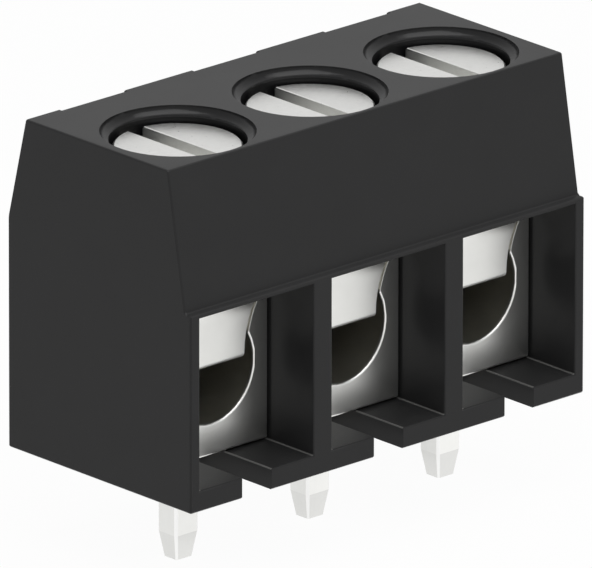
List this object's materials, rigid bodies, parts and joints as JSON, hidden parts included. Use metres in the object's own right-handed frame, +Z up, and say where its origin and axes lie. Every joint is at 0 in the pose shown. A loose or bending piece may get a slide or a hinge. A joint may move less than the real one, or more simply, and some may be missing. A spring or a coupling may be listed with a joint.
{
  "type": "pcb screw terminal block",
  "caption": "Block for a circuit board with a row of screw clamps: wires enter windows in front, slotted screws press a spring tongue on them, and pins go into the board.",
  "frame": {"origin": "where the middle solder pin's axis meets the board, in the plane of the housing's underside", "axes": "+X along the row of poles, -Y out of the wire windows, +Z up out of the screw wells"},
  "size_m": [0.015, 0.0076, 0.0126],
  "materials": {
    "housing": "fine moulded",
    "screw": "zinc plated",
    "wire_guard": "bright strip",
    "clamp_body": "nickel plated",
    "solder_pin": "tin plated"
  },
  "bodies": {
    "block": {"housing": "housing", "clamp_body_1": "clamp_body", "wire_guard_1": "wire_guard", "solder_pin_1": "solder_pin", "clamp_body_2": "clamp_body", "wire_guard_2": "wire_guard", "solder_pin_2": "solder_pin", "clamp_body_3": "clamp_body", "wire_guard_3": "wire_guard", "solder_pin_3": "solder_pin"},
    "screw_1": {"screw_1": "screw"},
    "screw_2": {"screw_2": "screw"},
    "screw_3": {"screw_3": "screw"}
  },
  "joints": [
    {"name": "screw_1_feed", "type": "slide", "parent": "block", "child": "screw_1", "axis": [0, 0, -1], "range_m": [0, 0.0015], "deforming": ["wire_guard_1"]},
    {"name": "screw_2_feed", "type": "slide", "parent": "block", "child": "screw_2", "axis": [0, 0, -1], "range_m": [0, 0.0015], "deforming": ["wire_guard_2"]},
    {"name": "screw_3_feed", "type": "slide", "parent": "block", "child": "screw_3", "axis": [0, 0, -1], "range_m": [0, 0.0015], "deforming": ["wire_guard_3"]}
  ]
}
